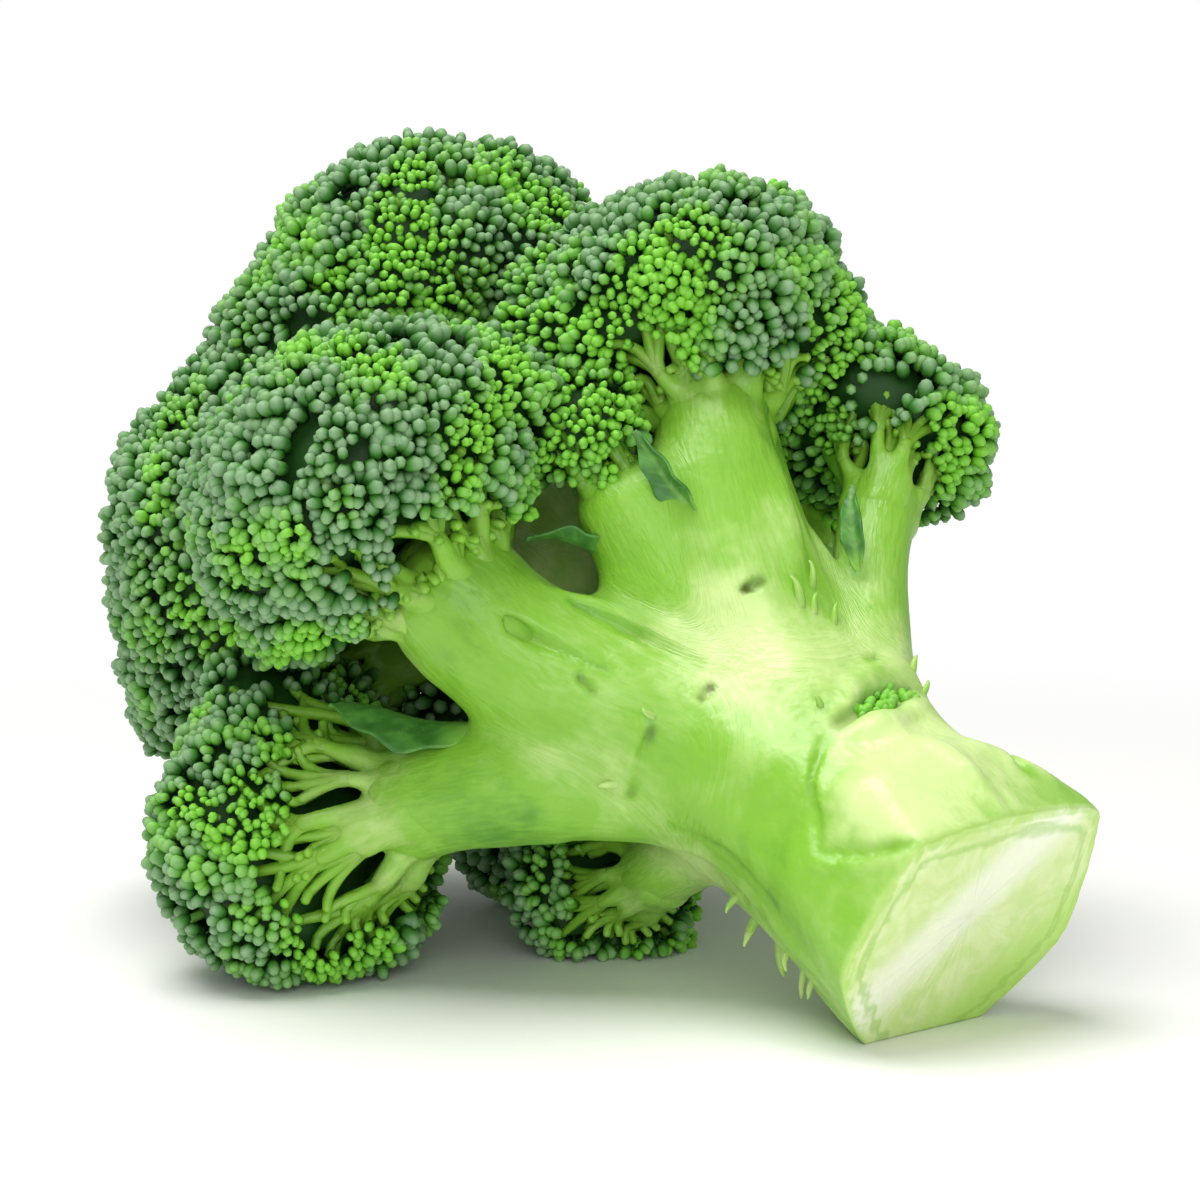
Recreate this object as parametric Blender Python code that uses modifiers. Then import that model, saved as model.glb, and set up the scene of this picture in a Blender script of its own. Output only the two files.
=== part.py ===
"""A head of broccoli lying on its side, built as named solids.

The plant is laid out upright in its own growing frame and then laid down as a whole. In the growing frame
the centre of the cut end of the stalk is the origin, +Z runs up the stalk towards the crown, and azimuth 0
is the side that ends up facing the table. One empty, "lying_plant", carries every solid and holds the pose:
the crown's lower florets and the rim of the cut end rest on the plane z = 0.

Solids: the stalk with the roots of its branches, one branch and one bud head for each floret, and the small
leaves that grow in the forks. Lengths are written in millimetres and turned to metres by MM.
"""

import math
from collections import namedtuple

import bmesh
import bpy
import numpy as np
from mathutils import Matrix, Vector

MM = 0.001

# How the plant lies: the stalk's axis rises from the cut end at this angle and points this way in plan.
AXIS_RISE = 24.7
AXIS_HEADING = 130.8
CUT_HEIGHT = 19.5 * MM

# The gap that touching solids keep between them.
GAP = 0.3 * MM

# The stalk's radius at its cut end, its waist, its shoulder and its top, and the height of each.
STALK_HEIGHTS = (0.0, 9 * MM, 20 * MM, 40 * MM, 60 * MM, 104 * MM)
STALK_RADII = (29.5 * MM, 26 * MM, 22.5 * MM, 23 * MM, 16 * MM, 12 * MM)
STALK_SIDES = 28
STALK_RINGS = 14
STALK_BOW = 3.0 * MM
STALK_BOW_AZIMUTH = 32

# Flats left on the stalk by the knife and by trimmed leaf stems. azimuth and lean give the way each one
# faces, lean being its tilt up from level, and out is its distance from the axis at the height up.
Flat = namedtuple("Flat", "azimuth up lean out")
STALK_FLATS = [
    Flat(176, 0, -13, 17.6),
    Flat(110, 0, -3, 22.6),
    Flat(52, 4, 6, 24.0),
    Flat(140, 34, 12, 22.5),
    Flat(262, 10, 0, 25.5),
    Flat(320, 18, 4, 23.5),
]

# One row for each floret. head is the middle of its bud head and joint the point where its branch meets
# it, each as (azimuth, distance from the axis, height). across is the head's radius, high how far it domes
# and full the roundness of its underside: 1 is a cone and 2 a ball. root_up is where the branch leaves the
# axis, root and top are the branch's radii, and parts is the share of its way at which it leaves the stalk.
Floret = namedtuple("Floret", "head joint across high full root_up root top parts")
FLORETS = {
    "front": Floret((113, 54, 103), (104, 42, 84), 31, 27, 1.6, 28, 12.0, 11.0, 0.76),
    "upper": Floret((188, 52, 99), (181, 41, 82), 28.5, 25, 1.6, 28, 11.0, 9.5, 0.66),
    "crest": Floret((174, 26, 156), (173, 18, 131), 38, 29, 1.7, 88, 8.5, 8.5, 0.5),
    "left": Floret((76, 40, 147), (84, 24, 126), 27.5, 24, 1.7, 88, 8.0, 8.0, 0.5),
    "low_left": Floret((50, 63, 95), (63, 49, 77), 29.5, 26, 1.2, 34, 11.0, 9.5, 0.78),
    "low_middle": Floret((2, 42, 70), (10, 30, 58), 19, 17, 1.1, 34, 7.0, 6.5, 0.8),
    "low_right": Floret((219, 54, 72), (214, 43, 63), 18.5, 16, 1.1, 18, 8.5, 6.5, 0.68),
    "inner_right": Floret((246, 49, 100), (243, 35, 83), 21, 19, 1.3, 38, 8.0, 6.5, 0.66),
    "back": Floret((-70, 50, 112), (-72, 34, 95), 27, 24, 1.5, 52, 8.0, 7.5, 0.66),
    "low_back": Floret((-24, 50, 112), (-28, 34, 95), 28, 24, 1.5, 56, 8.0, 7.5, 0.66),
    "top_back": Floret((-85, 36, 152), (-85, 22, 130), 30, 25, 1.6, 88, 8.0, 8.0, 0.5),
    "top_low": Floret((24, 47, 154), (16, 27, 130), 30, 27, 1.6, 88, 8.0, 8.0, 0.5),
    "second": Floret((153, 41, 90), (150, 32, 79), 12, 12, 1.3, 36, 6.5, 5.5, 0.78),
}

# One row for each small leaf: the branch it grows from, the share of the branch's way, its turn about the
# branch from the side that faces away from the axis, how steeply it leaves, its length, half its width
# and how far its tip curls back.
Leaf = namedtuple("Leaf", "branch share turn rise long half_wide curl")
LEAVES = {
    "leaf_low": Leaf("low_left", 0.8, 112, 14, 20, 6.0, 3),
    "leaf_second": Leaf("second", 0.84, -90, 24, 13, 3.0, 2),
    "leaf_upper": Leaf("upper", 0.76, -80, 20, 12, 3.5, 2),
    "leaf_right": Leaf("low_right", 0.7, -80, 20, 12, 3.0, 2),
}
LEAF_THICKNESS = 0.9 * MM
HEAD_SEGMENTS = 20
HEAD_RINGS = 12
UNDERSIDE_REACH = 1.25
SOFT_EDGE = 1.6 * MM
BRANCH_POINTS = 9
BRANCH_BEVEL = 3


def polar(azimuth, out, up):
    """A point of the growing frame from its azimuth in degrees, its distance from the axis and its height."""
    turn = math.radians(azimuth)
    return Vector((out * math.cos(turn), out * math.sin(turn), up))


def clear_scene():
    """Removes whatever the file opened with."""
    for thing in list(bpy.data.objects):
        bpy.data.objects.remove(thing)


def new_collection(name):
    """A collection of that name under the scene."""
    made = bpy.data.collections.new(name)
    bpy.context.scene.collection.children.link(made)
    return made


def lying_matrix():
    """Turns the growing frame into the lying one: azimuth 0 goes down, +Z to the rise and the heading."""
    heading = Matrix.Rotation(math.radians(AXIS_HEADING), 4, "Z")
    fall = Matrix.Rotation(math.radians(90 - AXIS_RISE), 4, "Y")
    return Matrix.Translation((0, 0, CUT_HEIGHT)) @ heading @ fall


def table_down():
    """The way down to the table, in the growing frame."""
    return lying_matrix().to_3x3().inverted() @ Vector((0, 0, -1))


def plain_material(name, colour, roughness):
    """A Principled material of one colour."""
    made = bpy.data.materials.new(name)
    made.use_nodes = True
    shader = made.node_tree.nodes["Principled BSDF"]
    shader.inputs["Base Color"].default_value = (*colour, 1)
    shader.inputs["Roughness"].default_value = roughness
    shader.inputs["Metallic"].default_value = 0
    return made


def finished(mesh, name, collection, material, place=(0, 0, 0)):
    """Turns a bmesh into a smooth-shaded object at a place in the growing frame."""
    mesh.normal_update()
    bmesh.ops.recalc_face_normals(mesh, faces=mesh.faces)
    data = bpy.data.meshes.new(name)
    mesh.to_mesh(data)
    mesh.free()
    data.materials.append(material)
    data.shade_smooth()
    data.set_sharp_from_angle(angle=math.radians(40))
    made = bpy.data.objects.new(name, data)
    made.location = place
    collection.objects.link(made)
    return made


def head_middle(floret):
    """The middle of a bud head."""
    return polar(*floret.head) * MM


def head_joint(floret):
    """The point where a branch meets its bud head."""
    return polar(*floret.joint) * MM


def head_reach(directions, floret, others):
    """How far a bud head reaches from its middle along each direction.

    A dome in front and a rounded cone behind, softly cut back by the plane that it shares with each
    neighbour, and then cut flat where its branch meets it and where it rests on the table.
    """
    middle = head_middle(floret)
    back = head_joint(floret) - middle
    deep = back.length
    forward = directions @ np.array(-back / deep)
    aside = np.sqrt(np.clip(1 - forward**2, 0, 1))
    across, high = floret.across * MM, floret.high * MM
    dome = 1 / np.sqrt((aside / across) ** 2 + (forward / high) ** 2)
    power = floret.full
    behind = (aside / across) ** power + (np.abs(forward) / (deep * UNDERSIDE_REACH)) ** power
    reach = [np.where(forward >= 0, dome, behind ** (-1 / power))]
    for other in others:
        apart = head_middle(other) - middle
        distance = apart.length
        share = (distance**2 + across**2 - (other.across * MM) ** 2) / (2 * distance)
        reach.append(plane_reach(directions, apart / distance, share - GAP))
    softened = -SOFT_EDGE * np.log(sum(np.exp(-each / SOFT_EDGE) for each in reach))
    joint = plane_reach(directions, back / deep, deep)
    height = (lying_matrix() @ middle).z
    table = plane_reach(directions, table_down(), height)
    return np.minimum(np.minimum(softened, joint), table)


def plane_reach(directions, facing, distance):
    """How far each direction goes before it meets a plane at a distance in front, and 1 m if it never does."""
    towards = directions @ np.array(facing)
    return np.where(towards > 0.05, distance / np.maximum(towards, 0.05), 1.0)


def bud_head(name, floret, others, collection, material):
    """One bud head: the points of a sphere moved to the head's reach."""
    middle = head_middle(floret)
    mesh = bmesh.new()
    bmesh.ops.create_uvsphere(mesh, u_segments=HEAD_SEGMENTS, v_segments=HEAD_RINGS, radius=1)
    turned = (middle - head_joint(floret)).to_track_quat("Z", "Y").to_matrix()
    directions = np.array([(turned @ point.co).normalized() for point in mesh.verts])
    for point, direction, reach in zip(mesh.verts, directions, head_reach(directions, floret, others)):
        point.co = Vector(direction * reach)
    return finished(mesh, name, collection, material, middle)


def bezier(points, share):
    """The point of a cubic Bezier curve at a share of its way."""
    rest = 1 - share
    weights = (rest**3, 3 * rest**2 * share, 3 * rest * share**2, share**3)
    return sum((Vector(point) * weight for point, weight in zip(points, weights)), Vector())


def branch_controls(floret):
    """The four control points of a branch: up and out of the axis, then straight into the back of its head."""
    joint = head_joint(floret)
    facing = (head_middle(floret) - joint).normalized()
    root = Vector((0, 0, floret.root_up * MM))
    end = joint - facing * GAP
    span = (end - root).length
    leaving = polar(floret.joint[0], 0.6, 0.8)
    return root, root + leaving * span * 0.35, end - facing * span * 0.28, end


def branch_frame(floret, share):
    """A point of the branch's middle line, the way on from it, and the way out from the plant's axis."""
    controls = branch_controls(floret)
    place = bezier(controls, share)
    onward = (bezier(controls, share + 0.01) - bezier(controls, share - 0.01)).normalized()
    outward = polar(floret.joint[0], 1, 0)
    return place, onward, (outward - onward * outward.dot(onward)).normalized()


def branch_radius(floret, share):
    """The branch's radius: its root's at the axis, its top's from two thirds of the way on."""
    return (floret.root + (floret.top - floret.root) * min(1.0, share * 1.5)) * MM


def branch_tube(name, floret, start, end, collection, material):
    """A stretch of a branch, as a bevelled poly curve between two shares of its way.

    Its points crowd towards both ends, so that its caps stand square to the branch.
    """
    curve = bpy.data.curves.new(name, "CURVE")
    curve.dimensions = "3D"
    curve.bevel_depth = 1
    curve.bevel_resolution = BRANCH_BEVEL
    curve.use_fill_caps = True
    line = curve.splines.new("POLY")
    line.points.add(BRANCH_POINTS - 1)
    controls = branch_controls(floret)
    for step, knot in enumerate(line.points):
        even = step / (BRANCH_POINTS - 1)
        share = start + (end - start) * even * even * (3 - 2 * even)
        knot.co = (*bezier(controls, share), 1)
        knot.radius = branch_radius(floret, share)
    curve.materials.append(material)
    made = bpy.data.objects.new(name, curve)
    collection.objects.link(made)
    return made


def leaf_blade(name, leaf, collection, material):
    """A small leaf: a grid given a pointed outline, cupped, curled back at its tip and made solid."""
    floret = FLORETS[leaf.branch]
    place, onward, outward = branch_frame(floret, leaf.share)
    away = Matrix.Rotation(math.radians(leaf.turn), 3, onward) @ outward
    steep = math.radians(leaf.rise)
    along = onward * math.cos(steep) + away * math.sin(steep)
    above = away * math.cos(steep) - onward * math.sin(steep)
    side = along.cross(above)
    base = place + away * (branch_radius(floret, leaf.share) + GAP + LEAF_THICKNESS)
    mesh = bmesh.new()
    bmesh.ops.create_grid(mesh, x_segments=6, y_segments=10, size=1)
    for point in mesh.verts:
        up = (point.co.y + 1) / 2
        wide = leaf.half_wide * MM * (0.12 + 0.88 * math.sin(math.pi * up**0.8)) * (1 - 0.12 * up)
        cup = 0.25 * leaf.half_wide * MM * point.co.x**2
        curl = leaf.curl * MM * up**2
        point.co = base + along * (leaf.long * MM * up) + side * (point.co.x * wide) + above * (cup + curl)
    made = finished(mesh, name, collection, material)
    solid = made.modifiers.new("thickness", "SOLIDIFY")
    solid.thickness = LEAF_THICKNESS
    solid.offset = 0
    return made


def as_mesh(thing, collection):
    """A curve object made a welded mesh object, which a Boolean can take."""
    bpy.context.view_layer.update()
    graph = bpy.context.evaluated_depsgraph_get()
    data = bpy.data.meshes.new_from_object(thing.evaluated_get(graph))
    welded = bmesh.new()
    welded.from_mesh(data)
    bmesh.ops.remove_doubles(welded, verts=welded.verts, dist=0.01 * MM)
    welded.normal_update()
    bmesh.ops.recalc_face_normals(welded, faces=welded.faces)
    welded.to_mesh(data)
    welded.free()
    made = bpy.data.objects.new(thing.name + "_guide", data)
    made.matrix_world = thing.matrix_world
    made.hide_render = True
    made.display_type = "WIRE"
    collection.objects.link(made)
    bpy.data.objects.remove(thing)
    return made


def trim(mesh, place, outward):
    """Cuts away what stands out past a plane and closes the cut."""
    whole = list(mesh.verts) + list(mesh.edges) + list(mesh.faces)
    cut = bmesh.ops.bisect_plane(
        mesh, geom=whole, plane_co=place, plane_no=outward, clear_outer=True, dist=0.02 * MM
    )
    rim = [item for item in cut["geom_cut"] if isinstance(item, bmesh.types.BMEdge)]
    if rim:
        bmesh.ops.contextual_create(mesh, geom=rim)


def stalk_body(name, collection, material):
    """The stalk without its branches: a cylinder shaped to its radii, bowed and then trimmed flat."""
    tall = STALK_HEIGHTS[-1]
    mesh = bmesh.new()
    bmesh.ops.create_cone(mesh, cap_ends=True, segments=STALK_SIDES, radius1=1, radius2=1, depth=tall)
    bmesh.ops.translate(mesh, verts=mesh.verts, vec=(0, 0, tall / 2))
    for ring in range(1, STALK_RINGS):
        whole = list(mesh.verts) + list(mesh.edges) + list(mesh.faces)
        height = tall * (ring / STALK_RINGS)
        bmesh.ops.bisect_plane(mesh, geom=whole, plane_co=(0, 0, height), plane_no=(0, 0, 1))
    bow = polar(STALK_BOW_AZIMUTH, STALK_BOW, 0)
    for point in mesh.verts:
        turn = math.atan2(point.co.y, point.co.x)
        up = point.co.z
        ribs = 1 + 0.03 * math.cos(5 * turn + 2.2 * up / tall)
        reach = float(np.interp(up, STALK_HEIGHTS, STALK_RADII)) * ribs
        bowed = bow * math.sin(math.pi * min(1.0, 2 * up / tall))
        point.co.x = reach * math.cos(turn) + bowed.x
        point.co.y = reach * math.sin(turn) + bowed.y
    for flat in STALK_FLATS:
        outward = polar(flat.azimuth, 1, math.tan(math.radians(flat.lean))).normalized()
        trim(mesh, polar(flat.azimuth, flat.out, flat.up) * MM, outward)
    trim(mesh, lying_matrix().inverted() @ Vector((0, 0, 0)), table_down())
    return finished(mesh, name, collection, material)


def build():
    """Builds the plant, lays it down and centres it over the origin."""
    clear_scene()
    plant = new_collection("broccoli_head")
    guides = new_collection("guides")
    flesh = plain_material("stalk", (0.50, 0.68, 0.20), 0.45)
    buds = plain_material("buds", (0.10, 0.22, 0.06), 0.7)
    blade = plain_material("leaf", (0.08, 0.26, 0.05), 0.5)

    stalk = stalk_body("stalk", plant, flesh)
    for name, floret in FLORETS.items():
        stub = branch_tube(name + "_root", floret, 0.0, floret.parts, guides, flesh)
        join = stalk.modifiers.new(name, "BOOLEAN")
        join.operation = "UNION"
        join.object = as_mesh(stub, guides)
        controls = branch_controls(floret)
        after = floret.parts + 2 * GAP / (controls[3] - controls[0]).length
        branch_tube("branch_" + name, floret, after, 1.0, plant, flesh)
        others = [each for key, each in FLORETS.items() if key != name]
        bud_head("floret_" + name, floret, others, plant, buds)

    for name, leaf in LEAVES.items():
        leaf_blade(name, leaf, plant, blade)

    pose = bpy.data.objects.new("lying_plant", None)
    plant.objects.link(pose)
    pose.matrix_world = lying_matrix()
    for thing in list(plant.objects) + list(guides.objects):
        if thing is not pose:
            thing.parent = pose
    centre_over_origin(pose, plant)


def centre_over_origin(pose, plant):
    """Moves the plant sideways so that the middle of its box stands over the origin."""
    bpy.context.view_layer.update()
    graph = bpy.context.evaluated_depsgraph_get()
    corners = []
    for thing in plant.objects:
        if thing.type == "EMPTY":
            continue
        shown = thing.evaluated_get(graph)
        data = shown.to_mesh()
        corners.extend(shown.matrix_world @ point.co for point in data.vertices)
        shown.to_mesh_clear()
    places = np.array(corners)
    middle = (places.min(axis=0) + places.max(axis=0)) / 2
    pose.location.x -= middle[0]
    pose.location.y -= middle[1]
    bpy.context.view_layer.update()


build()
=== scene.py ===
"""A head of broccoli lying on its side: pale waxy stalk, forked branches and clusters of green flower buds.

Shapes are worked out in the plant's growing frame, in millimetres: the middle of the cut end is the origin,
+Z runs up the stalk, and azimuth 0 is the side that faces the table. lay_down() takes them to the scene.
"""

import math
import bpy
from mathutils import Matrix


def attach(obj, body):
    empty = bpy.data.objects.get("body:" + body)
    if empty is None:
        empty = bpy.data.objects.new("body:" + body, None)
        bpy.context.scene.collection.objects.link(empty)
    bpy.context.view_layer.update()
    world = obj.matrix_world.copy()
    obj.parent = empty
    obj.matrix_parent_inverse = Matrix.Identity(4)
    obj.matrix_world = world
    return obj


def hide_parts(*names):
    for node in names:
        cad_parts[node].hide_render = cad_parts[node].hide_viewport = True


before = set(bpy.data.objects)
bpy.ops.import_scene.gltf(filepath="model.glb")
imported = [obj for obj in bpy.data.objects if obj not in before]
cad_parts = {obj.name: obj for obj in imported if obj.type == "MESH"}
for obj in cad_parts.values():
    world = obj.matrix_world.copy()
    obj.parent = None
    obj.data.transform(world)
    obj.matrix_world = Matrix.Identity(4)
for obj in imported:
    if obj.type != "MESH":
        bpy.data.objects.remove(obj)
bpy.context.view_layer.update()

import bpy
import numpy as np
import openvdb
from mathutils import Matrix, Vector
from mathutils.bvhtree import BVHTree

# ---------------------------------------------------------------------------------------------------------
# The view. A long lens looks a little down at the head, which lies on a pale table under a wide soft light
# from above and to the left, with a white surround that fills the shadows.

eye = bpy.data.cameras.new("eye")
eye.lens = 86.4
eye.sensor_width = 36.0
eye_object = bpy.data.objects.new("eye", eye)
eye_object.location = (0.0054, -0.4964, 0.1123)
eye_object.rotation_euler = (math.radians(84.0), 0, 0)
bpy.context.scene.collection.objects.link(eye_object)
bpy.context.scene.camera = eye_object


def soft_panel(name, place, target, size, power, tint):
    """A square panel light at a place, facing a target."""
    light = bpy.data.lights.new(name, "AREA")
    light.shape = "DISK"
    light.size = size
    light.energy = power
    light.color = tint
    panel = bpy.data.objects.new(name, light)
    panel.location = place
    facing = Vector(place) - Vector(target)
    panel.rotation_euler = facing.to_track_quat("Z", "Y").to_euler()
    bpy.context.scene.collection.objects.link(panel)


soft_panel("top_panel", (-0.25, -0.10, 1.10), (0, 0, 0.05), 0.9, 13.0, (1.0, 0.99, 0.96))
soft_panel("front_panel", (0.10, -1.10, 0.45), (0, 0, 0.05), 0.8, 4.2, (1.0, 1.0, 1.0))

surround = bpy.data.worlds.new("surround")
surround.use_nodes = True
seen = surround.node_tree.nodes.new("ShaderNodeLightPath").outputs["Is Camera Ray"]
glow = surround.node_tree.nodes.new("ShaderNodeMapRange")
surround.node_tree.links.new(seen, glow.inputs["Value"])
glow.inputs["To Min"].default_value = 0.36
glow.inputs["To Max"].default_value = 1.0
surround.node_tree.nodes["Background"].inputs["Color"].default_value = (1.0, 1.0, 1.0, 1)
surround.node_tree.links.new(glow.outputs["Result"], surround.node_tree.nodes["Background"].inputs["Strength"])
bpy.context.scene.world = surround
bpy.context.scene.view_settings.view_transform = "Standard"

table_mesh = bpy.data.meshes.new("table")
table_mesh.from_pydata([(-4, -4, 0), (4, -4, 0), (4, 4, 0), (-4, 4, 0)], [], [(0, 1, 2, 3)])
table = bpy.data.objects.new("table", table_mesh)
bpy.context.scene.collection.objects.link(table)
table_paint = bpy.data.materials.new("table_paint")
table_paint.use_nodes = True
table_shader = table_paint.node_tree.nodes["Principled BSDF"]
table_shader.inputs["Base Color"].default_value = (0.94, 0.94, 0.93, 1)
table_shader.inputs["Roughness"].default_value = 0.55
table_links = table_paint.node_tree.links
spot = table_paint.node_tree.nodes.new("ShaderNodeTexCoord").outputs["Object"]
far_off = table_paint.node_tree.nodes.new("ShaderNodeVectorMath")
far_off.operation = "LENGTH"
table_links.new(spot, far_off.inputs[0])
fade = table_paint.node_tree.nodes.new("ShaderNodeMapRange")
fade.interpolation_type = "SMOOTHSTEP"
fade.inputs["From Min"].default_value = 0.16
fade.inputs["From Max"].default_value = 0.42
table_links.new(far_off.outputs["Value"], fade.inputs["Value"])
lit_from_below = table_paint.node_tree.nodes.new("ShaderNodeEmission")
lit_from_below.inputs["Color"].default_value = (1.0, 1.0, 1.0, 1)
table_mix = table_paint.node_tree.nodes.new("ShaderNodeMixShader")
looked_at = table_paint.node_tree.nodes.new("ShaderNodeLightPath").outputs["Is Camera Ray"]
glowing = table_paint.node_tree.nodes.new("ShaderNodeMath")
glowing.operation = "MULTIPLY"
table_links.new(fade.outputs["Result"], glowing.inputs[0])
table_links.new(looked_at, glowing.inputs[1])
table_links.new(glowing.outputs["Value"], table_mix.inputs["Fac"])
table_links.new(table_shader.outputs["BSDF"], table_mix.inputs[1])
table_links.new(lit_from_below.outputs["Emission"], table_mix.inputs[2])
table_links.new(table_mix.outputs["Shader"], table_paint.node_tree.nodes["Material Output"].inputs["Surface"])
table_mesh.materials.append(table_paint)

# ---------------------------------------------------------------------------------------------------------
# The stalk with its branches. One fleshy body: a thick stem with flats where leaf stems were trimmed, that
# forks into a branch for each floret. It is worked out as one distance field whose parts run softly into
# each other, so the forks are webbed, and then drawn where the field is zero.

AXIS_RISE = 24.7
AXIS_HEADING = 130.8
CUT_END = Vector((0.06132695, -0.06875453, 0.0195))
MM = 0.001

turning = Matrix.Rotation(math.radians(AXIS_HEADING), 3, "Z")
falling = Matrix.Rotation(math.radians(90 - AXIS_RISE), 3, "Y")
LYING = np.array(turning @ falling)


def lay_down(points):
    """Growing-frame millimetres to scene metres: turned by the pose and moved to the cut end's place."""
    return points @ LYING.T * MM + np.array(CUT_END)


def stand_up(points):
    """Scene metres to growing-frame millimetres, the reverse of lay_down."""
    return (points - np.array(CUT_END)) @ LYING / MM


def height_over_table(points):
    """How high growing-frame points come to lie, in millimetres."""
    return points @ LYING[2] + CUT_END.z / MM


def around(azimuth, out, up):
    """A growing-frame point from its azimuth in degrees, its distance from the axis and its height."""
    turn = math.radians(azimuth)
    return np.array([out * math.cos(turn), out * math.sin(turn), up])


# Each floret: the middle of its head and the joint below it as (azimuth, out, up), its head's radius, where
# its branch leaves the axis, the branch's radius at its root and its top, and how far round its head from
# the front its buds reach, in degrees.
FLORETS = {
    "front": ((113, 54, 103), (104, 42, 84), 31, 28, 13.0, 12.0, 140),
    "upper": ((188, 52, 99), (181, 41, 82), 28.5, 28, 11.0, 9.5, 148),
    "crest": ((174, 26, 156), (173, 18, 131), 38, 88, 8.5, 8.5, 150),
    "left": ((76, 40, 147), (84, 24, 126), 27.5, 88, 8.0, 8.0, 150),
    "low_left": ((50, 63, 95), (63, 49, 77), 29.5, 34, 11.0, 9.5, 127),
    "low_middle": ((2, 42, 70), (10, 30, 58), 19, 34, 7.0, 6.5, 118),
    "low_right": ((219, 54, 72), (214, 43, 63), 18.5, 18, 8.5, 6.5, 134),
    "inner_right": ((246, 49, 100), (243, 35, 83), 21, 38, 8.0, 6.5, 145),
    "back": ((-70, 50, 112), (-72, 34, 95), 27, 52, 8.0, 7.5, 145),
    "low_back": ((-24, 50, 112), (-28, 34, 95), 28, 56, 8.0, 7.5, 140),
    "top_back": ((-85, 36, 152), (-85, 22, 130), 30, 88, 8.0, 8.0, 145),
    "top_low": ((24, 47, 154), (16, 27, 130), 30, 88, 8.0, 8.0, 145),
    "second": ((153, 41, 90), (150, 32, 79), 12, 36, 9.0, 8.0, 150),
}
STALK_HEIGHTS = (0, 9, 20, 40, 60, 104)
STALK_RADII = (29.5, 26, 22.5, 23, 16, 12)
STALK_BOW = around(32, 3.0, 0)
# The trimmed flats: azimuth, height, lean and distance from the axis, with the radius that each bulges by.
STALK_FLATS = (
    (176, 0, -13, 17.6, 90),
    (110, 0, -3, 22.6, 60),
    (52, 4, 6, 24.0, 60),
    (140, 34, 12, 22.5, 60),
    (262, 10, 0, 25.5, 60),
    (320, 18, 4, 23.5, 60),
)
# How wide the webs are where some branches fork; 6 for the rest.
WEBS = {"front": 9, "second": 12, "upper": 9}
VOXEL = 0.76
FIELD_LOW = np.array([-66.0, -66.0, -3.0])
FIELD_SHAPE = (174, 174, 190)


def smooth_least(one, other, width):
    """The lesser of two fields, rounded where they are within a width of each other (quadratic blend)."""
    share = np.clip(0.5 + 0.5 * (other - one) / width, 0, 1)
    return other + (one - other) * share - width * share * (1 - share)


def smooth_most(one, other, width):
    """The greater of two fields, rounded in the same way."""
    return -smooth_least(-one, -other, width)


def ripple(points, wavelength, seed):
    """Smooth random waves from -1 to 1: the mean of sines along six random directions near a wavelength."""
    dice = np.random.default_rng(seed)
    ways = dice.normal(size=(6, 3))
    ways /= np.linalg.norm(ways, axis=1, keepdims=True)
    pace = 2 * np.pi / (wavelength * dice.uniform(0.7, 1.4, 6))
    waves = np.sin(points @ (ways * pace[:, None]).T + dice.uniform(0, 2 * np.pi, 6))
    return np.clip(waves.sum(axis=-1) / 2.6, -1, 1)


def bend_line(points, count):
    """count points along the cubic Bezier curve of four control points."""
    share = np.linspace(0, 1, count)[:, None]
    rest = 1 - share
    start, leave, arrive, end = (np.asarray(point, float) for point in points)
    return rest**3 * start + 3 * rest**2 * share * leave + 3 * rest * share**2 * arrive + share**3 * end


def branch_line(floret, count=14):
    """A branch's middle line: up and out of the stalk's axis, then straight into the back of its head."""
    head, joint, _, root_up = floret[:4]
    joint_at, head_at = around(*joint), around(*head)
    facing = (head_at - joint_at) / np.linalg.norm(head_at - joint_at)
    root_at = np.array([0.0, 0.0, root_up])
    span = np.linalg.norm(joint_at - root_at)
    leaving = around(joint[0], 0.6, 0.8)
    return bend_line((root_at, root_at + leaving * span * 0.35, joint_at - facing * span * 0.28, joint_at), count)


def branch_radii(floret, count=14):
    """The branch's radius along it: its root's, narrowing to its top's at two thirds of the way."""
    return np.interp(np.linspace(0, 1, count), (0, 0.67, 1), (floret[4], floret[5], floret[5]))


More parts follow.
